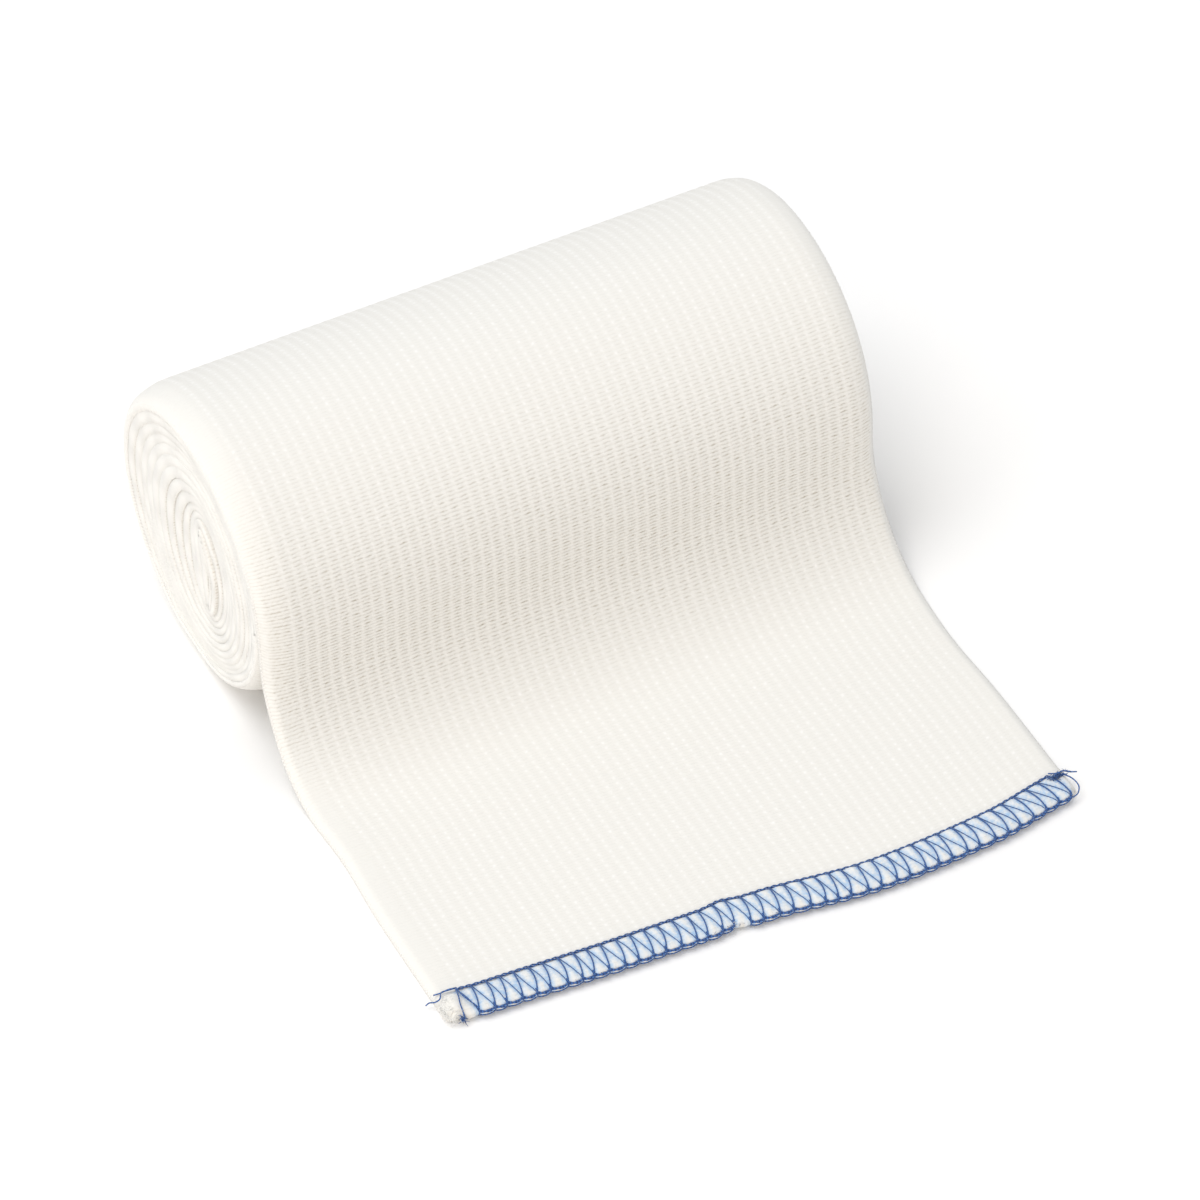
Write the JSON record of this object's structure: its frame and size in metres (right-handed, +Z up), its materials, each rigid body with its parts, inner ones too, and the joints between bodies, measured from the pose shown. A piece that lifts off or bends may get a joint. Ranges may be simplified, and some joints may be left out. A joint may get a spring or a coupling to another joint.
{
  "type": "elastic bandage roll",
  "caption": "Off-white elastic bandage wound into a soft roll, its outer end laid out flat with a blue overlocked edge.",
  "frame": {"origin": "on the table, at the middle of the flat spot under the roll's axis, half way along the roll", "axes": "+Z up from the table, +X along the roll's axis, -Y towards the stitched loose end"},
  "size_m": [0.1003, 0.1165, 0.0443],
  "materials": {
    "elastic_cloth": "matt ribbed elastic weave",
    "overlock_thread": "satin spun thread"
  },
  "bodies": {
    "root": {"bandage_roll": "elastic_cloth", "loose_end": "elastic_cloth", "overlock_edge": "overlock_thread"}
  },
  "joints": []
}
